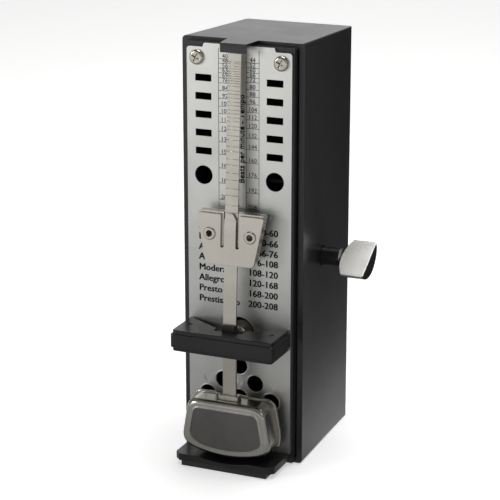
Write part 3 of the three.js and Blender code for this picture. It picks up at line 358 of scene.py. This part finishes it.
# camera, light and floor
view = {"turn": 0.40676, "tilt": 0.29077, "distance": 553.09, "target": (2.236, -22.0, 66.378),
        "lens": 132.73, "sensor": 36, "near": 0.01, "far": 20}
lamps = {
    "keyLight": {"place": (-560, -660, 250), "size": 240, "power": 2.0},
    "fillLight": {"place": (620, -620, 420), "size": 420, "power": 0.4},
    "topLight": {"place": (60, 160, 800), "size": 520, "power": 4.0},
    "backPanel": {"place": (-520, 1500, 620), "size": 1000, "power": 2.1},
}
floorGlow = 0.5
skyStrength = 0.2
lampAim = (0, 0, 60)
# painted reflection: how bright the floor looks in the glossy sides, a glow that fades to the right and
# gains towards the front
paintedPaperReflection = {"side": (0.0195, 0.045), "sideLight": (0.85, 0.05), "front": (0.04, 0.40),
         "frontLight": (0.30, 1.05), "split": (0.0, 0.03)}
floorLook = {"size": 30, "dark": (0.85, 0.85, 0.85), "light": (0.87, 0.87, 0.87), "base": (0.86, 0.86, 0.86),
             "rough": 0.8, "texture": 6}


def addCamera():
    turn, tilt = view["turn"], view["tilt"]
    back = Vector((math.sin(turn) * math.cos(tilt), -math.cos(turn) * math.cos(tilt), math.sin(tilt)))
    target = Vector(view["target"]) * mm
    data = bpy.data.cameras.new("viewCamera")
    data.lens = view["lens"]
    data.sensor_width = view["sensor"]
    data.clip_start = view["near"]
    data.clip_end = view["far"]
    camera = bpy.data.objects.new("viewCamera", data)
    bpy.context.scene.collection.objects.link(camera)
    camera.location = target + back * view["distance"] * mm
    camera.rotation_euler = back.to_track_quat("Z", "Y").to_euler()
    bpy.context.scene.camera = camera


def addLamp(name, look):
    data = bpy.data.lights.new(name, "AREA")
    data.shape = "DISK"
    data.size = look["size"] * mm
    data.energy = look["power"]
    lamp = bpy.data.objects.new(name, data)
    bpy.context.scene.collection.objects.link(lamp)
    lamp.location = Vector(look["place"]) * mm
    aim = lamp.location - Vector(lampAim) * mm
    lamp.rotation_euler = aim.to_track_quat("Z", "Y").to_euler()


# painted reflection: glossy rays see a fixed glow painted over the floor instead of its lit surface
def addPaperReflection(tree, shader, coords):
    split = tree.nodes.new("ShaderNodeSeparateXYZ")
    tree.links.new(coords, split.inputs[0])
    side = spread(tree, split.outputs["X"], *paintedPaperReflection["sideLight"], *paintedPaperReflection["side"])
    ahead = tree.nodes.new("ShaderNodeMath")
    ahead.operation = "MULTIPLY"
    ahead.inputs[1].default_value = -1
    tree.links.new(split.outputs["Y"], ahead.inputs[0])
    front = spread(tree, ahead.outputs[0], *paintedPaperReflection["frontLight"], *paintedPaperReflection["front"])
    where = spread(tree, ahead.outputs[0], 0, 1, *paintedPaperReflection["split"])
    blend = tree.nodes.new("ShaderNodeMix")
    tree.links.new(where, blend.inputs["Factor"])
    tree.links.new(side, blend.inputs["A"])
    tree.links.new(front, blend.inputs["B"])
    paintedGlow = tree.nodes.new("ShaderNodeEmission")
    tree.links.new(blend.outputs["Result"], paintedGlow.inputs["Strength"])
    ray = tree.nodes.new("ShaderNodeLightPath")
    choose = tree.nodes.new("ShaderNodeMixShader")
    tree.links.new(ray.outputs["Is Glossy Ray"], choose.inputs["Fac"])
    tree.links.new(shader.outputs["BSDF"], choose.inputs[1])
    tree.links.new(paintedGlow.outputs["Emission"], choose.inputs[2])
    tree.links.new(choose.outputs["Shader"], tree.nodes["Material Output"].inputs["Surface"])


def addFloor():
    deselectAll()
    look = floorLook
    bpy.ops.mesh.primitive_plane_add(size=look["size"], location=(0, 0, 0))
    floor = bpy.context.object
    floor.name = "paleFloor"
    material, tree, shader, coords = newFinish("floorFinish", look["base"], look["rough"])
    paleTone = tint(tree, grain(tree, coords, look["texture"]), look["dark"], look["light"])
    tree.links.new(paleTone, shader.inputs["Base Color"])
    shader.inputs["Emission Color"].default_value = (1, 1, 1, 1)
    shader.inputs["Emission Strength"].default_value = floorGlow
    floor.data.materials.append(material)
    # painted reflection of the floor, seen only in glossy surfaces
    addPaperReflection(tree, shader, coords)


def addSky():
    world = bpy.data.worlds.new("studio")
    bpy.context.scene.world = world
    world.use_nodes = True
    sky = world.node_tree.nodes["Background"]
    sky.inputs["Color"].default_value = (1, 0.99, 0.97, 1)
    sky.inputs["Strength"].default_value = skyStrength


addCamera()
for lampName, lampLook in lamps.items():
    addLamp(lampName, lampLook)
addFloor()
addSky()
bpy.context.scene.view_settings.view_transform = "Standard"
print("camera and studio set")

# black case, chassis and bridge: the CAD shapes with their moulded edges
moulded = {
    "case_sleeve": {"piece": "caseShell", "edge": 0.3, "slot": "black_case", "material": caseFinish},
    "front_chassis": {"piece": "chassisFrame", "edge": 0.2, "slot": "black_moulding",
                      "material": mouldingFinish},
    "pendulum_bridge": {"piece": "bridgeBar", "edge": 0.3, "slot": "black_moulding",
                        "material": mouldingFinish},
}
bridgeDimple = {"x": 13.2, "y": -31.6, "radius": 0.75, "top": 43.8, "depth": 0.18}
caseRound = {"radius": 1.1, "segments": 5, "leastRun": 34.0, "outerX": 17.1, "backY": 21.5, "leastSpan": 25,
             "levelWithin": 3}


def outerCaseEdge(a, b):  # the long outer edges that run front to back, and the two across the back
    look = caseRound
    along = abs(a.y - b.y) > look["leastRun"] * mm and min(abs(a.x), abs(b.x)) > look["outerX"] * mm
    across = min(a.y, b.y) > look["backY"] * mm and abs(a.x - b.x) > look["leastSpan"] * mm
    return (along or across) and abs(a.z - b.z) < look["levelWithin"] * mm


for node, look in moulded.items():
    piece = copyNode(node, look["piece"])
    if node == "case_sleeve":
        bevelEdges(piece, outerCaseEdge, caseRound["radius"], caseRound["segments"])
    softEdges(piece, look["edge"])
    if node == "pendulum_bridge":  # round marks on top of the webs
        mark = bridgeDimple
        for x in (-mark["x"], mark["x"]):
            markFloor = (x, mark["y"], mark["top"] - mark["depth"])
            carve(piece, addRod("mark", mark["radius"], markFloor, (x, mark["y"], mark["top"] + 1), 24))
    settle(piece, "frame", look["slot"], look["material"], node)

footLook = {"half": 16.3, "front": -37.6, "back": -24.25, "top": 3.8, "step": 1.6, "stepIn": 2.3,
            "chamfer": 1.6, "scoop": 38.1, "pivotZ": 41.0, "seatFront": -25.1, "seatZ": 3.2, "edge": 0.22,
            "stepSetback": 0.2, "overlap": 0.3, "scoopVertices": 256}


def addFoot():
    look = footLook
    half, front, back, chamfer = look["half"], look["front"], look["back"], look["chamfer"]
    lowHalf = half - look["stepIn"]
    upper = [(-half, back), (-half, front + chamfer), (-half + chamfer, front),
             (half - chamfer, front), (half, front + chamfer), (half, back)]
    lowFront = front + look["stepSetback"]
    lower = [(-lowHalf, back), (-lowHalf, lowFront), (lowHalf, lowFront), (lowHalf, back)]
    slab = addSlab("footSlab", upper, look["step"], look["top"], upright=False)
    fuse(slab, addSlab("footStep", lower, 0, look["step"] + look["overlap"], upright=False))
    # the scoop that the counterweight swings through, and the seat under the scale plate
    sweep = addRod("sweep", look["scoop"], (0, front - 5, look["pivotZ"]),
                   (0, look["seatFront"], look["pivotZ"]), look["scoopVertices"])
    seat = addBox("seat", (-half - 1, look["seatFront"], look["seatZ"]),
                  (half + 1, back + 1, look["top"] + 1))
    carve(slab, sweep, seat)
    return softEdges(slab, look["edge"], 3, 40)


settle(addFoot(), "frame", "black_moulding", mouldingFinish, "base_foot")
print("mouldings finished")

# scale plate with its printing
plateEdge = 0.12
plateSheet = softEdges(copyNode("scale_plate", "plateSheet"), plateEdge, 2)
settle(plateSheet, "frame", "plate_metal", plateFinish, "scale_plate")

scalePrint = {
    "frontY": -25.0,
    "rightColumn": [(44, 123.88), (52, 122.41), (60, 120.95), (66, 119.54), (72, 118.12), (80, 115.94),
                    (88, 113.81), (96, 111.62), (104, 109.25), (112, 106.99), (120, 104.42), (132, 101.49),
                    (144, 98.12), (160, 94.03), (176, 89.6), (192, 84.92), (208, 79.8)],
    "leftColumn": [(40, 124.44), (48, 123.08), (56, 121.6), (63, 120.24), (69, 118.82), (76, 117.27),
                   (84, 114.95), (92, 112.62), (100, 110.29), (108, 108.07), (116, 105.48), (126, 102.77),
                   (138, 99.56), (152, 95.79), (168, 91.65), (184, 87.05), (200, 82.0)],
    "figureSize": 1.9,
    "figureRise": 0.78,
    "figureBold": 0.01,
    "inkLift": 0.015,
    "inkDepth": 0.02,
    "lineWidth": 0.14,
    "lineLift": 0.035,
    "lineSink": 0.01,
    "strikes": [(-0.09, -0.03), (-0.09, 0.03), (0, 0), (0.09, -0.03), (0.09, 0.03)],
    "caption": {"words": "Beats per minute - Tempo", "size": 2.5, "x": 0.95, "z": 101},
    "rulings": [-6.5, -2.33, 2.33, 6.4],
    "rulingZ": (79.8, 127.6),
    "tableSize": 2.9,
    "tableLeft": -13.2,
    "tableRight": 12.6,
    "table": [("Largo", "40-60", 73.16), ("Larghetto", "60-66", 69.91), ("Adagio", "66-76", 66.66),
              ("Andante", "76-108", 63.55), ("Moderato", "108-120", 60.24), ("Allegro", "120-168", 56.98),
              ("Presto", "168-200", 53.68), ("Prestissimo", "200-208", 50.37)],
}


def addWords(words, size, x, z, align="LEFT", upright=False, bold=0.0):
    deselectAll()
    bpy.ops.object.text_add(location=(0, 0, 0))
    text = bpy.context.object
    text.data.body = str(words)
    text.data.size = size * mm
    text.data.align_x = align
    text.data.align_y = "CENTER"
    text.data.offset = bold * mm
    text.data.extrude = scalePrint["inkDepth"] * mm
    text.data.resolution_u = 2
    makeActive(text)
    bpy.ops.object.convert(target="MESH")
    text = bpy.context.object
    text.rotation_euler = (math.pi / 2, 0, 0) if not upright else (math.pi / 2, -math.pi / 2, 0)
    text.location = Vector((x, scalePrint["frontY"] - scalePrint["inkLift"], z)) * mm
    return applyPlace(text)


def addBoldWords(words, size, x, z, align="LEFT", upright=False):
    struck = []
    for across, up in scalePrint["strikes"]:  # struck several times for a heavier face
        struck.append(addWords(words, size, x + across, z + up, align, upright))
    return struck


def addRule(x0, x1, z0, z1):
    y = scalePrint["frontY"]
    return addBox("rule", (x0, y - scalePrint["lineLift"], z0), (x1, y + scalePrint["lineSink"], z1))


def printColumn(rows, side, inner, outer):
    marks = []
    width = scalePrint["lineWidth"]
    for value, z in rows:  # each figure stands on its own line
        marks.append(addWords(value, scalePrint["figureSize"], side * (inner + outer) / 2,
                              z + scalePrint["figureRise"], "CENTER", bold=scalePrint["figureBold"]))
        x = sorted((side * inner, side * outer))
        marks.append(addRule(x[0], x[1], z - width / 2, z + width / 2))
    return marks


def printPlate():
    farLeft, nearLeft, nearRight, farRight = scalePrint["rulings"]
    marks = printColumn(scalePrint["rightColumn"], 1, nearRight, farRight)
    marks += printColumn(scalePrint["leftColumn"], -1, -nearLeft, -farLeft)
    low, high = scalePrint["rulingZ"]
    half = scalePrint["lineWidth"] / 2
    for x in scalePrint["rulings"]:
        marks.append(addRule(x - half, x + half, low, high))
    marks.append(addRule(farLeft, farRight, low - half, low + half))
    for word, span, z in scalePrint["table"]:
        marks += addBoldWords(word, scalePrint["tableSize"], scalePrint["tableLeft"], z)
        marks += addBoldWords(span, scalePrint["tableSize"], scalePrint["tableRight"], z, "RIGHT")
    caption = scalePrint["caption"]
    marks += addBoldWords(caption["words"], caption["size"], caption["x"], caption["z"], "CENTER",
                          upright=True)
    return joinAll("platePrint", marks)


platePrint = printPlate()
settle(platePrint, "frame", "plate_metal", inkFinish, weighted=False)
print("plate printed", len(platePrint.data.polygons))

# rolled rims round the lower holes
rims = {"front": -25.0,
        "holes": [(0, 30.1), (-5.2, 24.95), (5.2, 24.95), (-10.4, 19.8), (0, 19.8), (10.4, 19.8)],
        "radius": 2.6, "width": 0.5, "rise": 0.10, "aroundSteps": 48, "ringSteps": 10}


def addRim(x, z, radius):
    deselectAll()
    thick = rims["width"] / 2
    bpy.ops.mesh.primitive_torus_add(major_radius=(radius + thick) * mm, minor_radius=thick * mm,
                                     major_segments=rims["aroundSteps"], minor_segments=rims["ringSteps"],
                                     rotation=(math.pi / 2, 0, 0))
    rim = bpy.context.object
    applyPlace(rim)
    rim.scale.y = rims["rise"] / thick
    rim.location = Vector((x, rims["front"], z)) * mm
    return applyPlace(rim)


holeRims = joinAll("holeRims", [addRim(x, z, rims["radius"]) for x, z in rims["holes"]])
settle(holeRims, "frame", "plate_metal", plateFinish)

plateScrew = {"x": 13.4, "z": 124.4, "seat": -25.0, "sink": 0.3, "radius": 2.28, "height": 1.05,
              "crossLength": 2.7, "crossWidth": 0.5, "crossDepth": 0.7, "crossTurn": 0.5, "dome": 0.75,
              "domeSteps": 6, "edge": 0.06}


def addScrewHead(name, x):
    look = plateScrew
    top = look["seat"] - look["height"]
    head = addRod(name, look["radius"], (x, look["seat"] + look["sink"], look["z"]), (x, top, look["z"]), 48)
    # dome the outer rim
    bevelEdges(head, lambda a, b: max(a.y, b.y) < (top + 0.01) * mm, look["dome"], look["domeSteps"])
    arms = []
    for turn in (look["crossTurn"], look["crossTurn"] + math.pi / 2):
        arm = addBox("crossArm", (-look["crossLength"] / 2, top - 1, -look["crossWidth"] / 2),
                     (look["crossLength"] / 2, top + look["crossDepth"], look["crossWidth"] / 2))
        arm.rotation_euler = (0, turn, 0)
        arm.location = Vector((x, 0, look["z"])) * mm
        arms.append(applyPlace(arm))
    carve(head, *arms)
    return softEdges(head, look["edge"], 2, 40)


for side, name, node in ((-1, "leftScrewHead", "plate_screw_left"),
                         (1, "rightScrewHead", "plate_screw_right")):
    screwHead = addScrewHead(name, side * plateScrew["x"])
    settle(screwHead, "frame", "nickel_metal", brightFinish, node)
print("rims and screws made")

# pendulum rod with its notches
rodLook = {"width": 4.2, "thickness": 0.6, "notchWidth": 0.13, "notchDepth": 0.07, "tilt": 3.0,
           "hinge": (0, -32.2, 43.0), "tail": 2.4, "tipGap": 0.05, "edge": 0.03}
lean = math.radians(rodLook["tilt"])


def rodTurned(obj):
    obj.rotation_euler = (-lean, 0, 0)
    obj.location = Vector(rodLook["hinge"]) * mm
    return applyPlace(obj)


def addPendulumRod():
    low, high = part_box("pendulum_rod")
    length = (high.z / mm - rodLook["hinge"][2]) / math.cos(lean)
    half, thick = rodLook["width"] / 2, rodLook["thickness"] / 2
    strip = addBox("rodStrip", (-half, -thick, -rodLook["tail"]), (half, thick, length - rodLook["tipGap"]))
    cutters = []
    for value, z in scalePrint["leftColumn"] + scalePrint["rightColumn"]:  # one notch for each tempo
        up = (z - rodLook["hinge"][2]) / math.cos(lean)
        notchEnd = (half + 1, -thick + rodLook["notchDepth"], up + rodLook["notchWidth"])
        cutters.append(addBox("notch", (-half - 1, -thick - 1, up), notchEnd))
    carve(strip, joinAll("notches", cutters))
    softEdges(strip, rodLook["edge"], 1, 40)
    return rodTurned(strip)


rodStrip = addPendulumRod()
settle(rodStrip, "rod", "rod_metal", rodFinish, "pendulum_rod")
print("rod cut")

# tempo weight
weightLook = {
    "top": 37.25, "low": 21.15, "topHalf": 10.75, "lowHalf": 7.75,
    "faceTop": 36.35, "faceFront": -1.35, "faceBack": -0.55, "corner": 1.5, "topCorner": 0.7, "edge": 0.2,
    "tongueHalf": 1.9, "slot": 1.1, "slotCorner": 0.5, "tongueLength": 10.9, "tongueCorner": 0.15,
    "shoulderDrop": 1.4, "tipTaper": 1.15, "tipRise": 0.35,
    "tongueBend": 4.5, "bendRun": 2.5, "tongueDip": 0.22,
    "eyeletX": 6.5, "eyeletDrop": 7.0, "eyeHole": 1.45,
    "blockEdge": 0.08, "eyeletEdge": 0.1,
}


def weightFaceCorners():  # x, height and corner size, with the tongue between its two slots
    look = weightLook
    top, low, corner, slotCorner = look["faceTop"], look["low"], look["corner"], look["slotCorner"]
    inner, outer = look["tongueHalf"], look["tongueHalf"] + look["slot"]
    floor = look["top"] - look["tongueLength"]
    shoulder, tip = (inner, top - look["shoulderDrop"]), (inner - look["tipTaper"], top + look["tipRise"])
    right = [(look["lowHalf"], low, corner), (look["topHalf"], top, look["topCorner"]), (outer, top, 0),
             (outer, floor, slotCorner), (inner, floor, slotCorner), (*shoulder, look["tongueCorner"]),
             (*tip, look["tongueCorner"])]
    left = [(-x, z, size) for x, z, size in reversed(right)]
    return left[-1:] + right + left[:-1]


def addWeightFace():
    look = weightLook
    back, front = look["faceBack"], look["faceFront"]
    face = addSlab("weightFacePlate", roundedPath(weightFaceCorners(), 6), front, back)
    z = look["top"] - look["eyeletDrop"]
    for x in (-look["eyeletX"], look["eyeletX"]):
        carve(face, addRod("eyeHole", look["eyeHole"], (x, front - 1, z), (x, back + 1, z)))
    bendTongue(face)
    softEdges(face, look["edge"], 3, 40)
    return rodTurned(face)


def bendTongue(face):
    look = weightLook
    for drop in (look["tongueBend"], look["tongueBend"] - look["bendRun"]):
        makeActive(face)
        bpy.ops.object.mode_set(mode="EDIT")
        bpy.ops.mesh.select_all(action="SELECT")
        bpy.ops.mesh.bisect(plane_co=(0, 0, (look["top"] - drop) * mm), plane_no=(0, 0, 1))
        bpy.ops.object.mode_set(mode="OBJECT")
    for vertex in face.data.vertices:  # the tongue dips back to the rod above its fold
        up = vertex.co.z / mm - (look["top"] - look["tongueBend"])
        if abs(vertex.co.x) < (look["tongueHalf"] + 0.05) * mm and up > 0.01:
            vertex.co.y += look["tongueDip"] * min(1, up / look["bendRun"]) * mm


weightFacePlate = addWeightFace()
settle(weightFacePlate, "tempo_weight", "nickel_metal", nickelFinish, "weight_face")
weightGrooves = {"pitch": 0.8, "width": 0.28, "depth": 0.28, "front": -0.05, "back": 2.35, "start": 3.2,
                 "skin": 0.3, "sideStart": 2.2, "sidePitch": 1.0, "sideWidth": 0.4, "sideStop": 1.5}


def grooveBlock(body):  # fine grooves across the top of the block and down its two sides
    look, grooves = weightLook, weightGrooves
    front, back, deep = grooves["front"], grooves["back"], grooves["skin"] + grooves["depth"]
    cutters = []
    x = grooves["start"]
    while x < look["topHalf"] - 1:
        for side in (-1, 1):
            low, high = sorted((side * x, side * (x + grooves["width"])))
            cutters.append(addBox("groove", (low, front, look["top"] - deep), (high, back, look["top"] + 1)))
        x += grooves["pitch"]
    slope = (look["topHalf"] - look["lowHalf"]) / (look["top"] - look["low"])
    z = look["low"] + grooves["sideStart"]
    while z < look["top"] - grooves["sideStop"]:
        edge = look["lowHalf"] + slope * (z - look["low"]) - deep
        for side in (-1, 1):
            low, high = sorted((side * edge, side * (edge + 2)))
            cutters.append(addBox("groove", (low, front, z), (high, back, z + grooves["sideWidth"])))
        z += grooves["sidePitch"]
    return carve(body, rodTurned(joinAll("grooves", cutters)))


weightBody = softEdges(grooveBlock(copyNode("weight_block", "weightBody")), weightLook["blockEdge"], 2, 40)
settle(weightBody, "tempo_weight", "nickel_metal", nickelFinish, "weight_block")
for side in ("left", "right"):
    ring = softEdges(copyNode("weight_eyelet_" + side, side + "Eyelet"), weightLook["eyeletEdge"], 2, 40)
    settle(ring, "tempo_weight", "nickel_metal", nickelFinish, "weight_eyelet_" + side)
print("tempo weight made")

# counterweight
bobLook = {
    "front": -36.1, "back": -29.1, "topZ": 21.7, "topHalf": 12.5, "lowHalf": 14.9, "lowZ": 7.3,
    "reach": 37.0, "pivotZ": 41.0, "topCorner": 3.2, "lowCorner": 3.6, "baseHalf": 10.8, "baseSteps": 32,
    "rim": 1.5, "rimSteps": 8, "slotHalf": 2.15, "slotFloor": 9.9, "slotFront": -32.66, "slotBack": -31.74,
    "panel": [(1.9, 0.02), (2.25, 0.0), (2.4, -0.1), (2.6, -0.1), (2.75, 0.16)],  # inset and depth
    "shrink": {"low": 0.8, "topHalf": 0.85, "lowHalf": 1.1, "base": 0.9, "corner": 0.5},  # per mm of inset
}


def bobOutline(inset):
    look, shrink = bobLook, bobLook["shrink"]
    top, low = look["topZ"] - inset, look["lowZ"] + inset * shrink["low"]
    topHalf, lowHalf = (look[name] - inset * shrink[name] for name in ("topHalf", "lowHalf"))
    reach, base = look["reach"] - inset, look["baseHalf"] - inset * shrink["base"]
    topCorner, lowCorner = (look[name] - inset * shrink["corner"] for name in ("topCorner", "lowCorner"))
    corners = [(-topHalf, top, topCorner), (-lowHalf, low, lowCorner)]
    for step in range(look["baseSteps"] + 1):  # the underside is an arc about the pendulum's pivot
        x = base * (2 * step / look["baseSteps"] - 1)
        corners.append((x, look["pivotZ"] - math.sqrt(reach ** 2 - x ** 2), 0))
    corners += [(lowHalf, low, lowCorner), (topHalf, top, topCorner)]
    return roundedPath(corners)


def bobRings():  # inset and depth of each outline from the back, round the rim, to the panel's middle
    look = bobLook
    rings = [(0, look["back"])]
    for step in range(look["rimSteps"] + 1):
        t = step / look["rimSteps"] * math.pi / 2
        rings.append((look["rim"] * (1 - math.cos(t)), look["front"] + look["rim"] * (1 - math.sin(t))))
    return rings + [(inset, look["front"] + drop) for inset, drop in look["panel"]]


def addBob():
    look, rings = bobLook, bobRings()
    points = [(x * mm, y * mm, z * mm) for inset, y in rings for x, z in bobOutline(inset)]
    count = len(points) // len(rings)
    faces = []
    for k in range(len(rings) - 1):
        for i in range(count):
            here, beside = k * count + i, k * count + (i + 1) % count
            faces.append([here, beside, beside + count, here + count])
    faces += [list(range(count)), list(range(len(points) - count, len(points)))]
    mesh = bpy.data.meshes.new("bobShell")
    mesh.from_pydata(points, [], faces)
    shell = bpy.data.objects.new("bobShell", mesh)
    bpy.context.scene.collection.objects.link(shell)
    mesh.materials.append(counterweightFinish)
    mesh.materials.append(bobFaceFinish)
    mesh.polygons[len(faces) - 1].material_index = 1  # the pressed panel is duller than its rim
    makeActive(shell)
    bpy.ops.object.mode_set(mode="EDIT")
    bpy.ops.mesh.select_all(action="SELECT")
    bpy.ops.mesh.normals_make_consistent(inside=False)
    bpy.ops.object.mode_set(mode="OBJECT")
    smoothByAngle(shell, 40)
    half = look["slotHalf"]
    armSlot = addBox("armSlot", (-half, look["slotFront"], look["slotFloor"]), (half, look["slotBack"], 40))
    return carve(shell, armSlot)


bob = addBob()
settle(bob, "pendulum", "counterweight_metal", None, "counterweight")


def addCopy(name, node, edge, segments, body, slot, material):
    return settle(softEdges(copyNode(node, name), edge, segments), body, slot, material, node)


addCopy("bobFlange", "counterweight_backplate", 0.3, 3, "pendulum", "counterweight_metal",
        counterweightFinish)
addCopy("bobClip", "counterweight_clip", 0.2, 2, "pendulum", "rod_metal", rodFinish)
print("counterweight made")

# key
addCopy("keyBody", "key_core", 0.3, 3, "winding_key", "black_moulding", mouldingFinish)
addCopy("keyFace", "key_cap", 0.18, 3, "winding_key", "key_metal", keyFinish)
print("key made")

# the remaining CAD nodes keep their shape and get their metals
kept = {
    "front_bush": nickelFinish, "pendulum_hub": nickelFinish, "plate_screw_left": nickelFinish,
    "plate_screw_right": nickelFinish, "pendulum_fork": mouldingFinish, "counterweight_arm": rodFinish,
    "movement_plate_left": brassFinish, "movement_plate_right": brassFinish, "rear_strap": brassFinish,
    "escape_potence": brassFinish, "spring_barrel": brassFinish, "barrel_cover": brassFinish,
    "second_wheel": brassFinish, "crown_wheel": brassFinish,
}
replacedNodes = {
    "case_sleeve", "front_chassis", "pendulum_bridge", "base_foot", "scale_plate", "pendulum_rod",
    "weight_face", "weight_block", "weight_eyelet_left", "weight_eyelet_right", "counterweight",
    "counterweight_backplate", "counterweight_clip", "key_core", "key_cap",
}
for node, obj in nodes.items():
    if node not in replacedNodes:
        obj.data.materials.clear()
        obj.data.materials.append(kept.get(node, steelFinish))
print("CAD nodes finished")
